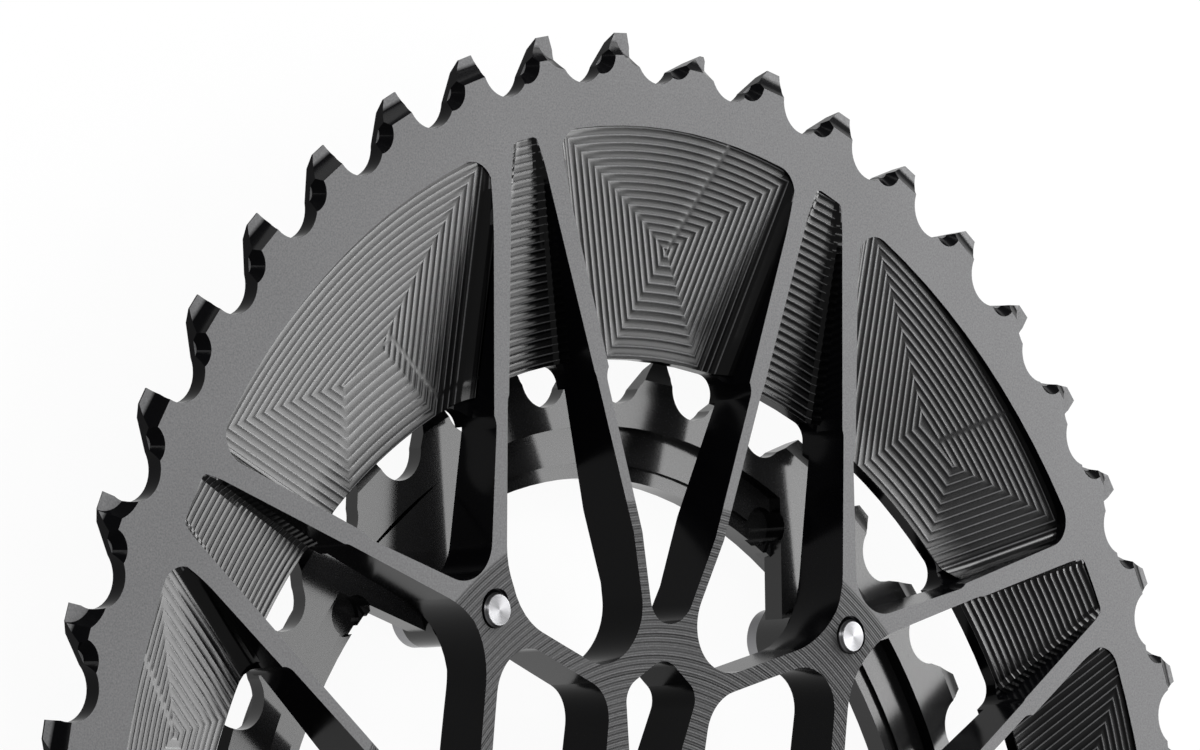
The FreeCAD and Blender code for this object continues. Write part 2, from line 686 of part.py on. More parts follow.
inner_tips = [size("tip_height")] * len(inner_frames)
inner_drops = [size("chamfer_drop")] * len(inner_frames)
inner_outline = shape_feature("inner_tooth_outline", toothed_face(inner_frames, inner_tips))
inner_outline.Placement = Placement(Vector(0, 0, INNER_PLATE_BACK), Rotation())
inner_plate = feature("Part::Extrusion", "inner_plate", Base=inner_outline, Dir=Vector(0, 0, 1), Solid=True)
bind(inner_plate, LengthFwd="Sizes.inner_plate_thickness")
inner_toothed = cut("inner_toothed", inner_plate, shape_feature("inner_tooth_chamfers", tooth_chamfers(
    inner_frames, inner_tips, inner_drops, size("inner_hollow_radius"), INNER_FACE, INNER_PLATE_BACK)))
inner_band = oval_drum("inner_band", inner_axes, 0.8 - BAND, INNER_BACK, INNER_PLATE_BACK + 0.5)

hollow = fuse("inner_hollow", [
    oval_drum("band_step", inner_axes, -BAND, BAND_FACE, INNER_FACE + 1),
    oval_drum("lip_step", inner_axes, -LIP, LIP_FACE, INNER_FACE + 1),
    oval_drum("inner_bore", inner_axes, -BORE, INNER_BACK - 1, INNER_FACE + 1),
])
inner_ring = cut("inner_ring", fuse("inner_stack", [inner_toothed, inner_band]), hollow)


def bore_point(angle, more=0.0):
    """A point on the inner ring's bore, or outside it, at a clockwise angle from +Y."""
    ray = Line(angle, 0, 0, 1)
    return line_meets_oval(ray, inner_axes, BORE - more, 0)


def tab(angle):
    """One tab: a neck that flares into the bore, a raised pad with a round relief beside it, a boss."""
    boss = size("boss_radius")
    spin = Rotation(Vector(0, 0, 1), -angle)
    side = spin.multVec(Vector(boss, 0, 0))
    foot = around(angle, BOLT_CIRCLE)
    neck_reach = math.degrees(math.asin(boss / bore_point(angle).Length))
    outline = []
    for sign in (1, -1):
        near, far = bore_point(angle + sign * neck_reach), bore_point(angle + sign * (neck_reach + 5.5))
        tip = bore_point(angle + sign * (neck_reach + 5.5), 1.5)
        row = [(foot + side * sign, 0), (near, size("tab_corner_radius")), (far, 0), (tip, 0)]
        outline += row if sign > 0 else row[::-1]
    neck = rounded_face([(point.x, point.y, radius) for point, radius in outline])
    neck = neck.translated(Vector(0, 0, HEAD_TOP)).extrude(Vector(0, 0, BAND_FACE - HEAD_TOP))
    into_band = BORE - BAND + 1.0
    pad_points = [(foot - side * 0.99, 0), (bore_point(angle - 9, 1.0), 2.0), (bore_point(angle - 12, into_band), 0),
                  (bore_point(angle + 12, into_band), 0), (bore_point(angle + 9, 1.0), 2.0), (foot + side * 0.99, 0)]
    pad = rounded_face([(point.x, point.y, radius) for point, radius in pad_points])
    pad = pad.translated(Vector(0, 0, LIP_FACE - 0.5)).extrude(Vector(0, 0, INNER_FACE - LIP_FACE + 0.5))
    barrel = Part.makeCylinder(boss, SPIDER_BACK - HEAD_TOP, around(angle, BOLT_CIRCLE, HEAD_TOP))
    return neck.fuse([pad, barrel])


tabs = shape_feature("tabs", Part.Compound([tab(angle) for angle in BOLT_ANGLES]))
tab_holes = []
for angle in BOLT_ANGLES:
    passage = size("thread_radius") + size("bolt_clearance")
    tab_holes.append(Part.makeCylinder(passage, SPIDER_BACK, around(angle, BOLT_CIRCLE, HEAD_TOP - 1)))
    spot = bore_point(angle - 11.5, 2.2)
    tab_holes.append(Part.makeCylinder(size("relief_radius"), 10, Vector(spot.x, spot.y, LIP_FACE - 0.6)))
inner_chainring = cut("inner_chainring", fuse("inner_body", [inner_ring] + [tabs]),
                      shape_feature("tab_holes", Part.Compound(tab_holes)))


# Chainring bolts: driven from behind, with the plain end of the thread flush in the outer ring's face

def chainring_bolt(number, angle):
    label = "chainring_bolt_%d" % number
    body = lathe(label, [
        ("0", "0"),
        ("Sizes.bolt_head_radius - 0.5", "0"),
        ("Sizes.bolt_head_radius", "0.5"),
        ("Sizes.bolt_head_radius", "Sizes.bolt_head_height"),
        ("Sizes.thread_radius", "Sizes.bolt_head_height"),
        ("Sizes.thread_radius", "Sizes.face_height - 0.1"),
        ("Sizes.bolt_end_radius", "Sizes.face_height + Sizes.bolt_end_height"),
        ("0", "Sizes.face_height + Sizes.bolt_end_height"),
    ])
    key = body.newObject("PartDesign::SubtractivePrism", label + "_key")
    key.Polygon = 6
    bind(key, Circumradius="Sizes.bolt_key_radius", Height="Sizes.bolt_key_depth")
    body.Tip = key
    place = around(angle, 1)
    bind(body, **{"Placement.Base.x": "Sizes.bolt_circle_radius * %.9f" % place.x,
                  "Placement.Base.y": "Sizes.bolt_circle_radius * %.9f" % place.y})
    return body


bolts = [chainring_bolt(number, angle) for number, angle in enumerate(BOLT_ANGLES, start=1)]

doc.recompute()
for obj in doc.Objects:
    if "Invalid" in obj.State or "Error" in obj.State:
        raise RuntimeError("%s did not build" % obj.Label)

for piece in [outer_chainring, inner_chainring] + bolts:
    shape = piece.Shape
    if not shape.isValid() or len(shape.Solids) != 1:
        raise RuntimeError("%s is not one valid solid" % piece.Label)
    shape.exportStep("parts/%s.step" % piece.Label)
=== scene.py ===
"""Oval two-ring bicycle chainring set, lying on its back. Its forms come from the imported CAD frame;
this script adds the cutter marks, the finishes, the studio and the camera. Lengths are in metres."""
import json
import math

import bpy
from mathutils import Matrix, Vector

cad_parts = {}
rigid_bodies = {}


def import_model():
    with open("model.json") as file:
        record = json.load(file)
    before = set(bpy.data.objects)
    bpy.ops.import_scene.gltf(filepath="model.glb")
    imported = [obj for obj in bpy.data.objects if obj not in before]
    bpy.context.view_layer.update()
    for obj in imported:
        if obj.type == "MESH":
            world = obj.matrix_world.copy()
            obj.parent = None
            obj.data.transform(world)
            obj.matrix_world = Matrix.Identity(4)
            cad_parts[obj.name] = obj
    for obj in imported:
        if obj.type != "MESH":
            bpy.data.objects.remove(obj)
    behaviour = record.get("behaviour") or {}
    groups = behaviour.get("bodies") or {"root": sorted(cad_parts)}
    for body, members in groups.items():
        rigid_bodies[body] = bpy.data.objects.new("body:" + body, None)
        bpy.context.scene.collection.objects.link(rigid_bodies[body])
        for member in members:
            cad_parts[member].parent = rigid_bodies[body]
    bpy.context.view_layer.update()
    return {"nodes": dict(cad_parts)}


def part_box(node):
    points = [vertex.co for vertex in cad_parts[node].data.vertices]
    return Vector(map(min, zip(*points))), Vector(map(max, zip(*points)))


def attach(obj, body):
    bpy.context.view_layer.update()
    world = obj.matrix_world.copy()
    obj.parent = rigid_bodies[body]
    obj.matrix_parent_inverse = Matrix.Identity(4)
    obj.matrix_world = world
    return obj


MM = 0.001

bpy.ops.object.select_all(action="SELECT")
bpy.ops.object.delete()
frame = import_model()


# Outer ring: one piece of forged and milled aluminium, black anodised. Its flat face is blasted to an
# even satin, the walls left by the end mills are glossy, and the spider inside the bolts was faced on
# a lathe, which left fine rings about the hub.
outer_ring = frame["nodes"]["outer_chainring"]
face_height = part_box("outer_chainring")[1].z
satin_grey, wall_black = (0.158, 0.158, 0.161, 1), (0.002, 0.002, 0.0025, 1)
satin_rough, satin_shine, wall_rough = 0.42, 0.06, 0.16
steepest_flat, flattest_wall = 0.972, 0.945
turned_radius, turned_edge = 54.6 * MM, 0.15 * MM
turned_step, chatter_step = 0.82 * MM, 0.31 * MM
turned_dulling, turned_contrast = -0.55, 0.3
lathe_slant, lathe_level = 0.80, 0.95
grain_gain, grain_base = 1.1, 0.45
cloud_gain, cloud_base = 0.16, 0.92


def feed(tree, slot, value):
    """Puts a number, a colour or another node's output into an input."""
    if isinstance(value, bpy.types.NodeSocket):
        tree.links.new(value, slot)
    else:
        slot.default_value = value


def node(tree, kind, **values):
    """A shader node, with its properties by name and its inputs by their socket names."""
    made = tree.nodes.new("ShaderNode" + kind)
    for name, value in values.items():
        if hasattr(made, name):
            setattr(made, name, value)
        else:
            feed(tree, made.inputs[name.replace("_", " ")], value)
    return made


def arithmetic(tree, operation, *values, clamp=False):
    """The output of one Math node on numbers or sockets."""
    made = node(tree, "Math", operation=operation, use_clamp=clamp)
    for slot, value in zip(made.inputs, values):
        feed(tree, slot, value)
    return made.outputs[0]


def blend_colours(tree, share, low, high, way="MIX"):
    """Two colours mixed by a share, or multiplied. Each is a colour or a socket."""
    made = node(tree, "Mix", data_type="RGBA", blend_type=way, Factor=share)
    slots = [slot for slot in made.inputs if slot.type == "RGBA"]
    feed(tree, slots[0], low)
    feed(tree, slots[1], high)
    return [slot for slot in made.outputs if slot.type == "RGBA"][0]


def plane_distance(tree, x, y):
    """The distance from an upright axis, from the two ways across it."""
    squares = [arithmetic(tree, "MULTIPLY", side, side) for side in (x, y)]
    return arithmetic(tree, "SQRT", arithmetic(tree, "ADD", *squares))


def rings(tree, radius, step):
    """A wave that rises and falls once in each step of a radius."""
    return arithmetic(tree, "SINE", arithmetic(tree, "MULTIPLY", radius, 2 * math.pi / step))


def anodised(name, satin, wall, shine):
    """Starts the finish of black anodised aluminium: satin where it faces up or down, glossy black on
    the milled walls, with a fine grain. Gives the sockets that a piece's own marks are made from."""
    material = bpy.data.materials.new(name)
    material.use_nodes = True
    tree = material.node_tree
    tree.nodes["Principled BSDF"].inputs["Specular IOR Level"].default_value = shine
    place = node(tree, "TexCoord")
    spot = node(tree, "SeparateXYZ", Vector=place.outputs["Object"])
    up = node(tree, "SeparateXYZ", Vector=place.outputs["Normal"]).outputs["Z"]
    flat = node(tree, "MapRange", Value=arithmetic(tree, "ABSOLUTE", up), From_Min=flattest_wall,
                From_Max=steepest_flat).outputs["Result"]
    grain = node(tree, "TexNoise", Vector=place.outputs["Object"], Scale=4500.0, Detail=3.0, Roughness=0.6)
    cloud = node(tree, "TexNoise", Vector=place.outputs["Object"], Scale=60.0, Detail=2.0)
    speckle = arithmetic(tree, "MULTIPLY_ADD", grain.outputs["Fac"], grain_gain, grain_base)
    mottle = arithmetic(tree, "MULTIPLY_ADD", cloud.outputs["Fac"], cloud_gain, cloud_base)
    return {
        "material": material,
        "tree": tree,
        "up": up,
        "flat": flat,
        "grain": grain.outputs["Fac"],
        "cloud": cloud.outputs["Fac"],
        "radius": plane_distance(tree, spot.outputs["X"], spot.outputs["Y"]),
        "colour": blend_colours(tree, flat, wall, satin),
        "tone": arithmetic(tree, "MULTIPLY", speckle, mottle),
    }


def coated(metal, colour, tone, rough, marks=None):
    """Ends an anodised finish: its colour times its tone, its gloss, and fine pits over larger marks."""
    tree = metal["tree"]
    skin = tree.nodes["Principled BSDF"]
    feed(tree, skin.inputs["Base Color"], blend_colours(tree, 1.0, colour, tone, "MULTIPLY"))
    gloss = node(tree, "MapRange", Value=metal["flat"], To_Min=wall_rough, To_Max=rough)
    feed(tree, skin.inputs["Roughness"], gloss.outputs["Result"])
    pits = node(tree, "Bump", Height=metal["grain"], Strength=0.12, Distance=0.01 * MM)
    if marks:
        feed(tree, pits.inputs["Normal"], marks.outputs["Normal"])
    feed(tree, skin.inputs["Normal"], pits.outputs["Normal"])
    return metal["material"]


metal = anodised("outer_ring_black", satin_grey, wall_black, satin_shine)
tree, radius = metal["tree"], metal["radius"]
uneven = node(tree, "TexNoise", noise_dimensions="1D", W=radius, Scale=700.0, Detail=2.0)
inside = node(tree, "MapRange", Value=radius, From_Min=turned_radius + turned_edge,
              From_Max=turned_radius - turned_edge)
upward = node(tree, "MapRange", Value=metal["up"], From_Min=lathe_slant, From_Max=lathe_level)
lathe = arithmetic(tree, "MULTIPLY", inside.outputs["Result"], upward.outputs["Result"])
ripple = arithmetic(tree, "ADD", rings(tree, radius, turned_step), rings(tree, radius, chatter_step))
ripple = arithmetic(tree, "MULTIPLY", ripple, uneven.outputs["Fac"])
ripple = arithmetic(tree, "MULTIPLY", ripple, lathe)
dulled = arithmetic(tree, "MULTIPLY_ADD", lathe, turned_dulling, 1.0)
bright = arithmetic(tree, "MULTIPLY_ADD", ripple, turned_contrast, dulled)
tone = arithmetic(tree, "MULTIPLY", metal["tone"], bright)
grooves = node(tree, "Bump", Height=ripple, Strength=0.6, Distance=0.05 * MM)
outer_ring.data.materials.clear()
outer_ring.data.materials.append(coated(metal, metal["colour"], tone, satin_rough, grooves))


# Wide pocket floors: ten fans milled in the outer ring between its arms. A ball-nosed cutter went round
# each floor from its middle out and left a low cusp between passes, broken by a row of notches where
# it stepped over to the next pass. The floor levels off just before the web's end.
web_end = 71.1 * MM
rim_width = 9.1 * MM
pitch_long, pitch_short, long_turn = 106.65 * MM, 95.31 * MM, math.radians(-7)
floor_low, floor_high = face_height - 5.0 * MM, face_height - 0.3 * MM
below_face = 0.02 * MM
wide_corner_mm = 3.2
cutter_radius = 2.2 * MM
rim_pass, web_pass, arm_pass = 0.88 * MM, 1.05 * MM, 0.97 * MM
steps_per_pass = 6
skin_lift = 0.06 * MM
weld_reach = 0.002 * MM
notch_reach = 0.5 * MM
corner_notch = 2.2 * MM
notch_depths = [1.0, 0.55, 0.15, 0.0, 0.15, 0.55]
notch_most = 0.45
rim_notch_first, rim_notch_last = 0.1, 0.9
arm_notch_first, arm_notch_last = 0.5, 0.92
arm_points, rim_points, web_points = 8, 18, 14
by_rim_notch, by_arm_notch = 8, 6
seam_out, seam_across = 0.85, 0.53
ridge_share, ridge_radius, ridge_steps = 0.475, 80 * MM, 8
smooth_angle = math.radians(11)
hub_fan = {"apex": 34.9 * MM, "lean": 18.95, "middle": (0.4 * MM, 0.4 * MM)}
bolt_fan = {"apex": 50.7 * MM, "lean": 35.2, "middle": (-2.9 * MM, 4.3 * MM)}
level_run, level_tilt = 5 * MM, 0.17
tiny = 1e-6


def heading(turn):
    """Unit vector in the plane at a clockwise angle from +Y, in radians."""
    return Vector((math.sin(turn), math.cos(turn)))


def turn_of(spot, near):
    """The clockwise angle of a spot from +Y, within half a turn of a near one."""
    turn = math.atan2(spot.x, spot.y)
    return turn + math.tau * round((near - turn) / math.tau)


def rim_radius(turn, inset=rim_width):
    """Distance from the hub's axis to the oval that lies inset from the pitch line."""
    lean = turn - long_turn
    return 1 / math.hypot(math.cos(lean) / (pitch_long - inset), math.sin(lean) / (pitch_short - inset))


def reach(start, way, radius_at):
    """Where a ray leaves the line whose distance from the axis at each turn is radius_at(turn)."""
    along = start.dot(way)
    spot = start + way * web_end
    for _ in range(6):
        radius = radius_at(math.atan2(spot.x, spot.y))
        spot = start + way * (math.sqrt(along ** 2 + radius ** 2 - start.length_squared) - along)
    return spot


def arm_line(axis, apex, lean, side, inward):
    """An arm's wall: a point, its way outward, and the way across into the pocket."""
    way = heading(math.radians(axis + side * lean))
    return heading(math.radians(axis)) * apex, way, Vector((way.y, -way.x)) * inward


def between(first, last, count):
    """Shares from first to last in even steps, without the last."""
    return [first + (last - first) * i / count for i in range(count)]


def plain(count):
    """Even shares along a side, each with all of its cusp."""
    return [(share, 1.0) for share in between(0, 1, count)]


def notched(share, length, count):
    """Shares along a side with a notch at one of them, each with how much of its cusp stands."""
    half = min(notch_reach / max(length, tiny), notch_most * share, notch_most * (1 - share))
    shares = between(0, share - half, count)
    shares += between(share - half, share + half, len(notch_depths))
    shares += between(share + half, 1, count)
    return list(zip(shares, [1.0] * count + notch_depths + [1.0] * count))


def cove_rise(spot, walls, radius):
    """How far the rounded feet of the walls stand over the floor at a spot."""
    rise = 0.0
    for start, way, inward in walls:
        short = max(0.0, radius - max(0.0, (spot - start).dot(inward)))
        rise += radius - math.sqrt(radius ** 2 - short ** 2)
    return rise


def rim_corners(walls, corner_mm):
    """Where a pocket's rounded corners, of a radius in millimetres, meet its rim."""
    return [reach(start + inward * corner_mm * MM, way, rim_radius) for start, way, inward in walls]


def floor_point(spot, crown, cusp, rise):
    """A point on a floor that climbs from the web's end out to a crown, always under the ring's face."""
    slope = (floor_high - floor_low) / (crown - web_end)
    height = floor_low + (spot.length - web_end) * slope + skin_lift + cusp + rise
    return spot.x, spot.y, min(height, face_height - below_face)


def sheet_from_rows(name, rows, marks):
    """A grid primitive whose vertices are moved to rows of points, with seams and folds merged. Each
    point's mark, how far the cusp stands and the pass it lies on, goes into the UV map."""
    bpy.ops.object.select_all(action="DESELECT")
    bpy.ops.mesh.primitive_grid_add(x_subdivisions=len(rows[0]) - 1, y_subdivisions=len(rows) - 1, size=1)
    sheet = bpy.context.object
    sheet.name = name
    points = [point for row in rows for point in row]
    for vertex, point in zip(sheet.data.vertices, points):
        vertex.co = point
    stands = [mark for row in marks for mark in row]
    for loop in sheet.data.loops:
        sheet.data.uv_layers.active.data[loop.index].uv = stands[loop.vertex_index]
    bpy.ops.object.mode_set(mode="EDIT")
    bpy.ops.mesh.select_all(action="SELECT")
    bpy.ops.mesh.remove_doubles(threshold=weld_reach)
    bpy.ops.mesh.dissolve_degenerate(threshold=weld_reach)
    bpy.ops.object.mode_set(mode="OBJECT")
    bpy.ops.object.shade_smooth_by_angle(angle=smooth_angle)
    return sheet


def wide_pocket(axis, fan):
    """A wide pocket's arms, the short ridge that its passes go round, and the ridge's distance from
    the rim, from the web's end and from each arm."""
    arms = [arm_line(axis, fan["apex"], fan["lean"], side, -side) for side in (-1, 1)]
    ridge = []
    for shift in fan["middle"]:
        turn = math.radians(axis) + shift / ridge_radius
        ridge.append(heading(turn) * (web_end + ridge_share * (rim_radius(turn) - web_end)))
    centre = (ridge[0] + ridge[1]) / 2
    return {
        "axis": axis,
        "arms": arms,
        "ridge": ridge,
        "centre": centre,
        "rim_depth": rim_radius(math.atan2(centre.x, centre.y)) - centre.length,
        "web_depth": centre.length - web_end,
        "arm_depths": [(spot - start).dot(inward) for spot, (start, way, inward) in zip(ridge, arms)],
    }


def pass_outline(pocket, passes, seam_to_arm):
    """The cutter's way round a wide pocket after some passes: up the left arm, along the rim, down the
    right arm and back by the web's end. Each spot has how much of the cusp stands there."""
    rim_inset = rim_width + max(0.0, pocket["rim_depth"] - passes * rim_pass)
    web_radius = web_end + max(0.0, pocket["web_depth"] - passes * web_pass)
    rim_line = lambda turn: rim_radius(turn, rim_inset)
    ends = []
    for (start, way, inward), depth in zip(pocket["arms"], pocket["arm_depths"]):
        begin = start + inward * max(0.0, depth - passes * arm_pass)
        outer, inner = reach(begin, way, rim_line), reach(begin, way, lambda turn: web_radius)
        if (outer - inner).dot(way) < 0:
            outer = inner = (outer + inner) / 2
        ends.append((outer, inner))
    (left_out, left_in), (right_out, right_in) = ends
    middle_turn = math.radians(pocket["axis"])
    rim_first, rim_last, web_last, web_first = [
        turn_of(spot, middle_turn) for spot in (left_out, right_out, left_in, right_in)]

    if seam_to_arm:
        length = (right_in - right_out).length
        share = min(arm_notch_last, max(arm_notch_first, 1 - corner_notch / max(length, tiny)))
        rim_side, right_side = plain(rim_points), notched(share, length, by_arm_notch)
    else:
        across = heading(math.radians(pocket["axis"] + 90))
        seam_way = (heading(middle_turn) * seam_out + across * seam_across).normalized()
        seam_turn = turn_of(reach(pocket["centre"], seam_way, rim_line), rim_first)
        share = (seam_turn - rim_first) / max(rim_last - rim_first, tiny)
        share = min(rim_notch_last, max(rim_notch_first, share))
        rim_side, right_side = notched(share, (right_out - left_out).length, by_rim_notch), plain(arm_points)

    outline = [(left_in.lerp(left_out, share), cusp) for share, cusp in plain(arm_points)]
    for share, cusp in rim_side:
        turn = rim_first + (rim_last - rim_first) * share
        outline.append((heading(turn) * rim_line(turn), cusp))
    outline += [(right_out.lerp(right_in, share), cusp) for share, cusp in right_side]
    for share, cusp in plain(web_points):
        turn = web_first + (web_last - web_first) * share
        outline.append((heading(turn) * web_radius, cusp))
    return outline + outline[:1]


def wide_floor(number, axis, fan, seam_to_arm=False):
    """One wide pocket's floor, as rings of passes about a short ridge in its middle."""
    pocket = wide_pocket(axis, fan)
    arms, ridge = pocket["arms"], pocket["ridge"]
    rim_middle = heading(math.radians(axis)) * rim_radius(math.radians(axis))
    crown = max(spot.length for spot in rim_corners(arms, wide_corner_mm) + [rim_middle])
    count = max(pocket["rim_depth"] / rim_pass, pocket["web_depth"] / web_pass,
                max(pocket["arm_depths"]) / arm_pass)
    rows, marks = [], []
    for step in range(math.ceil(count * steps_per_pass) + 1):
        passes = step / steps_per_pass
        outline = pass_outline(pocket, passes, seam_to_arm)
        if step == 0:
            span = ridge[1] - ridge[0]
            along = max(span.length_squared, tiny ** 2)
            shares = [min(1, max(0, (spot - ridge[0]).dot(span) / along)) for spot, cusp in outline]
            outline = [(ridge[0] + span * (round(ridge_steps * share) / ridge_steps), cusp)
                       for share, (spot, cusp) in zip(shares, outline)]
        beside = (passes - round(passes)) * arm_pass
        cusp_rise = beside ** 2 / (2 * cutter_radius)
        rows.append([floor_point(spot, crown, cusp_rise * cusp, cove_rise(spot, arms, cutter_radius))
                     for spot, cusp in outline])
        marks.append([(cusp, passes) for spot, cusp in outline])
    return sheet_from_rows("wide_pocket_floor_%d" % number, rows, marks)


pocket_floors = []
for turn in range(5):
    pocket_floors.append(wide_floor(2 * turn + 1, 72 * turn, hub_fan))
    pocket_floors.append(wide_floor(2 * turn + 2, 72 * turn + 36, bolt_fan, seam_to_arm=(turn == 4)))

# The floors are blacker than the face, with a grey line of painted highlight along their cusps, kept off the
# steep coves where shade falls. In the UV map, V counts the cutter's passes, and U is 1 where the cusp
# stands.
floor_black, deep_black = (0.007, 0.007, 0.0073, 1), (0.001, 0.001, 0.0012, 1)
floor_rough, floor_shine = 0.25, 0.25
cusp_glint_grey, glint_base = (0.115, 0.115, 0.118, 1), 0.4
crest_edge, crest_top = 0.13, 0.03
cusp_slant, cusp_level = 0.84, 0.94
metal = anodised("milled_floor_black", floor_black, deep_black, floor_shine)
tree = metal["tree"]
cutter_way = node(tree, "SeparateXYZ", Vector=node(tree, "UVMap").outputs["UV"])
within_pass = arithmetic(tree, "FRACT", cutter_way.outputs["Y"])
aside = arithmetic(tree, "ABSOLUTE", arithmetic(tree, "SUBTRACT", within_pass, 0.5))
crest = node(tree, "MapRange", interpolation_type="SMOOTHSTEP", Value=aside, From_Min=crest_edge,
             From_Max=crest_top)
shallow = node(tree, "MapRange", Value=metal["up"], From_Min=cusp_slant, From_Max=cusp_level)
standing = arithmetic(tree, "MULTIPLY", crest.outputs["Result"], cutter_way.outputs["X"])
standing = arithmetic(tree, "MULTIPLY", standing, shallow.outputs["Result"])
glint_cloud = arithmetic(tree, "ADD", metal["cloud"], glint_base)
painted_glint = arithmetic(tree, "MULTIPLY", standing, glint_cloud, clamp=True)
# Painted highlight: the cusps' grey line, patchy with the cloud, is mixed into the floor's colour.
colour = blend_colours(tree, painted_glint, metal["colour"], cusp_glint_grey)
run = node(tree, "MapRange", Value=metal["radius"], From_Min=web_end, From_Max=web_end + level_run,
           To_Min=1.0, To_Max=0.0).outputs["Result"]
levelling = node(tree, "Bump", Height=arithmetic(tree, "MULTIPLY", run, run), Strength=1.0,
                 Distance=0.5 * level_tilt * level_run)
floor_finish = coated(metal, colour, metal["tone"], floor_rough, levelling)


# Narrow pocket floors: ten channels milled between the arm pairs with a smaller ball-nosed cutter that
# went to and fro across them, so that they carry even cross steps up to the rim.
cross_pass = 0.92 * MM
small_cutter = 1.32 * MM
narrow_corner_mm = 1.2
hub_side, bolt_side = (29.5 * MM, 19.85), (47.5 * MM, 36.3)
cross_shares = [0, 0.04, 0.09, 0.15, 0.22, 0.3, 0.4, 0.5, 0.6, 0.7, 0.78, 0.85, 0.91, 0.96, 1]
wall_chatter = 2.5


def narrow_floor(number, axis, side):
    """One narrow channel's floor between a hub arm and a bolt arm, on either side of the hub's axis."""
    near = arm_line(axis, hub_side[0], hub_side[1], side, side)
    far = arm_line(axis + 36 * side, bolt_side[0], bolt_side[1], -side, -side)
    walls = (near, far) if side > 0 else (far, near)
    corners = rim_corners(walls, narrow_corner_mm)
    middle = (corners[0] + corners[1]) / 2
    crown = max([spot.length for spot in corners] + [rim_radius(math.atan2(middle.x, middle.y))])
    rows, marks = [], []
    for step in range(math.ceil((crown - web_end) / cross_pass * steps_per_pass) + 1):
        passes = step / steps_per_pass
        radius = web_end + passes * cross_pass
        first, last = [reach(start, way, lambda turn: radius) for start, way, inward in walls]
        beside = (passes - round(passes)) * cross_pass
        row = []
        for share in cross_shares:
            spot = first.lerp(last, share)
            turn = math.atan2(spot.x, spot.y)
            spot = heading(turn) * min(radius, rim_radius(turn))
            rise = cove_rise(spot, walls, small_cutter)
            cusp = beside ** 2 / (2 * small_cutter) * (1 + wall_chatter * rise / small_cutter)
            row.append(floor_point(spot, crown, cusp, rise))
        rows.append(row)
        marks.append([(1.0, passes)] * len(row))
    return sheet_from_rows("narrow_pocket_floor_%d" % number, rows, marks)


for turn in range(5):
    pocket_floors.append(narrow_floor(2 * turn + 1, 72 * turn, 1))
    pocket_floors.append(narrow_floor(2 * turn + 2, 72 * turn, -1))
for floor in pocket_floors:
    floor.data.materials.append(floor_finish)
    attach(floor, "root")


# Inner ring: a smaller aluminium ring, turned and milled, then anodised a deeper and glossier black, so
# that it mirrors the lamps between the arms. Its five tabs hold it behind the outer ring.
inner_ring = frame["nodes"]["inner_chainring"]
glossy_black, inner_rough, inner_shine = (0.014, 0.014, 0.0145, 1), 0.16, 0.42
metal = anodised("inner_ring_black", glossy_black, deep_black, inner_shine)
inner_ring.data.materials.clear()
inner_ring.data.materials.append(coated(metal, metal["colour"], metal["tone"], inner_rough))


# Chainring bolts: bare turned steel, screwed in from behind through the inner ring's tabs. The faced
# end of each lies flush in the front of the outer ring, with fine rings about its own axis.
bolt_step = 0.16 * MM
dark_steel, fan_reflection_steel = (0.05, 0.05, 0.052, 1), (0.34, 0.34, 0.35, 1)
fan_gain, fan_base, ripple_gain = 0.22, 0.4, 0.1


def faced_steel(name, x, y):
    """Turned steel with fine rings about an axis, and a painted reflection: the two bright fans that such a
    face shows.
    """
    material = bpy.data.materials.new(name)
    material.use_nodes = True
    tree = material.node_tree
    skin = tree.nodes["Principled BSDF"]
    skin.inputs["Metallic"].default_value = 1.0
    skin.inputs["Roughness"].default_value = 0.3
    spot = node(tree, "SeparateXYZ", Vector=node(tree, "TexCoord").outputs["Object"])
    dx = arithmetic(tree, "SUBTRACT", spot.outputs["X"], x)
    dy = arithmetic(tree, "SUBTRACT", spot.outputs["Y"], y)
    ripple = rings(tree, plane_distance(tree, dx, dy), bolt_step)
    # Painted reflection: two bright fans about the axis, mixed into the steel's colour.
    fans = arithmetic(tree, "SINE", arithmetic(tree, "MULTIPLY", arithmetic(tree, "ARCTAN2", dy, dx), 2.0))
    share = arithmetic(tree, "MULTIPLY_ADD", fans, fan_gain, fan_base)
    share = arithmetic(tree, "MULTIPLY_ADD", ripple, ripple_gain, share)
    feed(tree, skin.inputs["Base Color"], blend_colours(tree, share, dark_steel, fan_reflection_steel))
    grooves = node(tree, "Bump", Height=ripple, Strength=0.3, Distance=0.01 * MM)
    feed(tree, skin.inputs["Normal"], grooves.outputs["Normal"])
    return material


for number in range(1, 6):
    bolt = frame["nodes"]["chainring_bolt_%d" % number]
    low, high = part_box("chainring_bolt_%d" % number)
    x, y = (low.x + high.x) / 2, (low.y + high.y) / 2
    bolt.data.materials.clear()
    bolt.data.materials.append(faced_steel("faced_steel_%d" % number, x, y))


# Studio floor: a pale floor under the set. The camera and glossy metal see it nearly white, and it
# keeps part of the soft shadow that the lamps make.
floor_white_share = 0.95
bpy.ops.mesh.primitive_plane_add(size=12, location=(0, 0, 0))
ground = bpy.context.object
ground.name = "studio_floor"
pale = bpy.data.materials.new("pale_floor")
pale.use_nodes = True
tree = pale.node_tree
paint = tree.nodes["Principled BSDF"]
paint.inputs["Base Color"].default_value = (0.9, 0.9, 0.9, 1)
paint.inputs["Roughness"].default_value = 0.9
paint.inputs["Specular IOR Level"].default_value = 0.0
glow = node(tree, "Emission", Color=(1, 1, 1, 1), Strength=1.0)
seen = node(tree, "LightPath")
watched = arithmetic(tree, "MAXIMUM", seen.outputs["Is Camera Ray"], seen.outputs["Is Glossy Ray"])
watched = arithmetic(tree, "MAXIMUM", watched, seen.outputs["Is Transmission Ray"])
mixed = node(tree, "MixShader", Fac=arithmetic(tree, "MULTIPLY", watched, floor_white_share))
feed(tree, mixed.inputs[1], paint.outputs["BSDF"])
feed(tree, mixed.inputs[2], glow.outputs["Emission"])
feed(tree, tree.nodes["Material Output"].inputs["Surface"], mixed.outputs["Shader"])
ground.data.materials.append(pale)


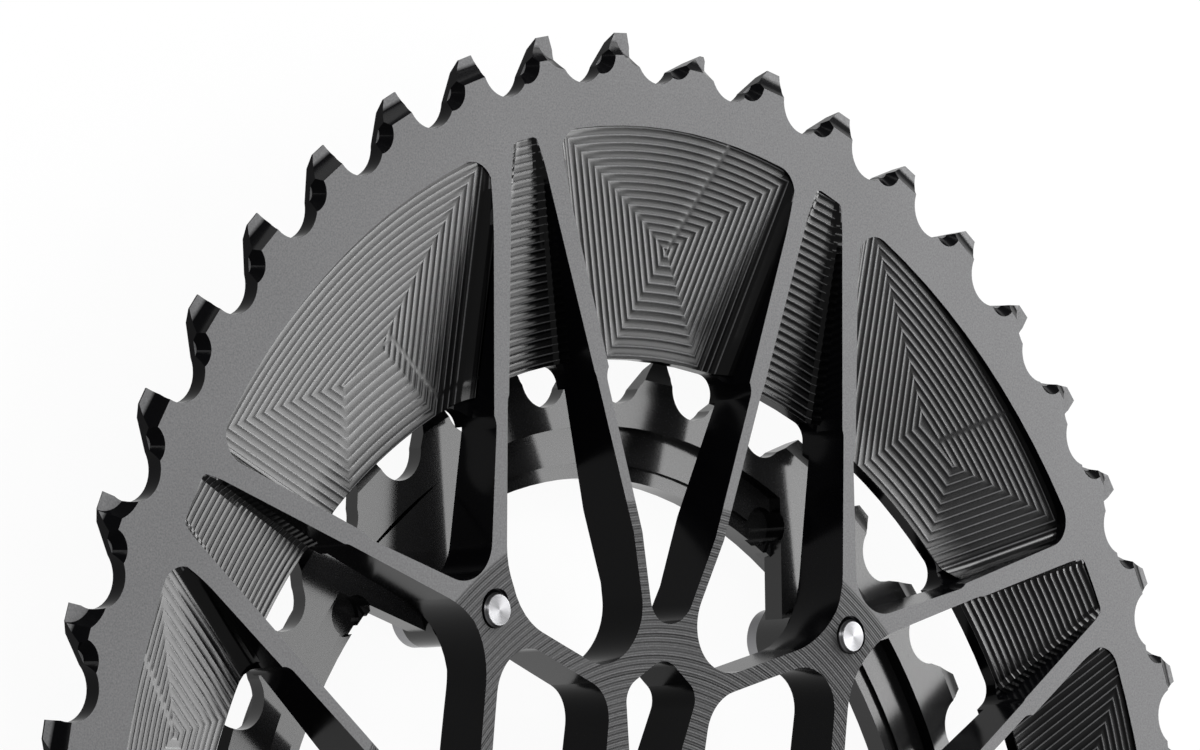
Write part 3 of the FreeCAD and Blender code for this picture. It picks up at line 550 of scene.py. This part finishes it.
# Studio room: dim and even, so that black metal stays black between the lamps. Only the camera sees it
# nearly white.
room_light, room_white = 0.3, 0.98
world = bpy.data.worlds.new("studio_room")
bpy.context.scene.world = world
world.use_nodes = True
tree = world.node_tree
room = tree.nodes["Background"]
room.inputs["Color"].default_value = (1, 1, 1, 1)
seen = node(tree, "LightPath").outputs["Is Camera Ray"]
strength = arithmetic(tree, "MULTIPLY_ADD", seen, room_white - room_light, room_light)
feed(tree, room.inputs["Strength"], strength)


# Lamps: the wide key lamp lights the set low from +X, so that the deep walls stay dark. The face lamp
# stands where the flat rings mirror it to the camera, and the small crown lamp brightens the top of the
# oval. The other two are weaker fills.
def softbox(name, place, aim, width, height, watts):
    """A rectangular lamp at a place, turned to its aim. The camera doesn't see it."""
    bpy.ops.object.light_add(type="AREA", location=place)
    lamp = bpy.context.object
    lamp.name = name
    lamp.data.shape = "RECTANGLE"
    lamp.data.size, lamp.data.size_y = width, height
    lamp.data.energy = watts
    lamp.visible_camera = False
    lamp.rotation_euler = (Vector(aim) - Vector(place)).to_track_quat("-Z", "Y").to_euler()


softbox("key_lamp", (1.08, 0.1, 0.52), (0.03, 0.05, 0.01), 1.0, 0.52, 13)
softbox("face_lamp", (0.89, 0.13, 0.86), (0, 0, 0.01), 0.32, 0.32, 1.8)
softbox("crown_lamp", (0.2, 0.26, 0.15), (0.02, 0.1, 0.01), 0.15, 0.1, 0.5)
softbox("top_lamp", (0.1, 1.0, 0.7), (0, 0, 0), 0.8, 0.4, 5)
softbox("left_strip", (-0.9, 0.3, 0.5), (0, 0, 0), 0.2, 0.9, 3)


# Camera: placed as the photograph was taken, looking down on the set along +X, with a long lens
camera_place = (-0.58048, -0.01234, 0.56676)
camera_right = Vector((0.69755, 0.00623, 0.71651))
camera_up = Vector((-0.07669, 0.99487, 0.06601))
camera_back = Vector((-0.71242, -0.10099, 0.69444))
bpy.ops.object.camera_add()
camera = bpy.context.object
camera.name = "photo_camera"
camera_turn = Matrix((camera_right, camera_up, camera_back)).transposed().to_4x4()
camera.matrix_world = Matrix.Translation(camera_place) @ camera_turn
camera.data.sensor_width = 36
camera.data.lens = 210.11
camera.data.clip_start = 0.05
bpy.context.scene.camera = camera
bpy.context.scene.view_settings.view_transform = "Standard"
